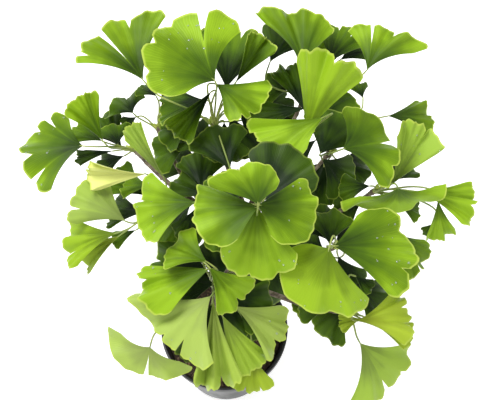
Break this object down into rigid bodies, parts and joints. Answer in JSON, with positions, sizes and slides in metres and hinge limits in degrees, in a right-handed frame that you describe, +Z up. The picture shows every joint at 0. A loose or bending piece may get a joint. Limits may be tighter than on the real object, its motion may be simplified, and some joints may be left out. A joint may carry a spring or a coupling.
{
  "type": "ginkgo bonsai",
  "caption": "Young ginkgo bonsai in a thin black nursery pot, with fan-shaped green leaves on slender leaf stalks around a bare upright trunk.",
  "frame": {"origin": "centre of the pot's underside, on the plane the pot stands on", "axes": "+Z up, -Y to the front, where the picture is taken from, +X to the viewer's right"},
  "size_m": [0.391, 0.3288, 0.3678],
  "materials": {
    "black_plastic": "satin black",
    "potting_soil": "damp peat and bark",
    "bark": "rough grey-brown bark",
    "upper_left_spray_green": "smooth satin leaf",
    "small_left_spray_green": "smooth satin leaf",
    "left_spray_green": "smooth satin leaf",
    "lower_left_spray_green": "smooth satin leaf",
    "centre_left_spray_green": "smooth satin leaf",
    "front_spray_green": "smooth satin leaf",
    "pot_side_spray_green": "smooth satin leaf",
    "centre_spray_green": "smooth satin leaf",
    "upper_right_spray_green": "smooth satin leaf",
    "back_spray_green": "smooth satin leaf",
    "right_spray_green": "smooth satin leaf",
    "far_right_spray_green": "smooth satin leaf",
    "lower_right_spray_green": "smooth satin leaf",
    "front_right_spray_green": "smooth satin leaf"
  },
  "bodies": {
    "root": {"pot": "black_plastic", "soil": "potting_soil", "trunk_and_branches": "bark", "upper_left_spray": "upper_left_spray_green", "small_left_spray": "small_left_spray_green", "left_spray": "left_spray_green", "lower_left_spray": "lower_left_spray_green", "centre_left_spray": "centre_left_spray_green", "front_spray": "front_spray_green", "pot_side_spray": "pot_side_spray_green", "centre_spray": "centre_spray_green", "upper_right_spray": "upper_right_spray_green", "back_spray": "back_spray_green", "right_spray": "right_spray_green", "far_right_spray": "far_right_spray_green", "lower_right_spray": "lower_right_spray_green", "front_right_spray": "front_right_spray_green"}
  },
  "joints": []
}
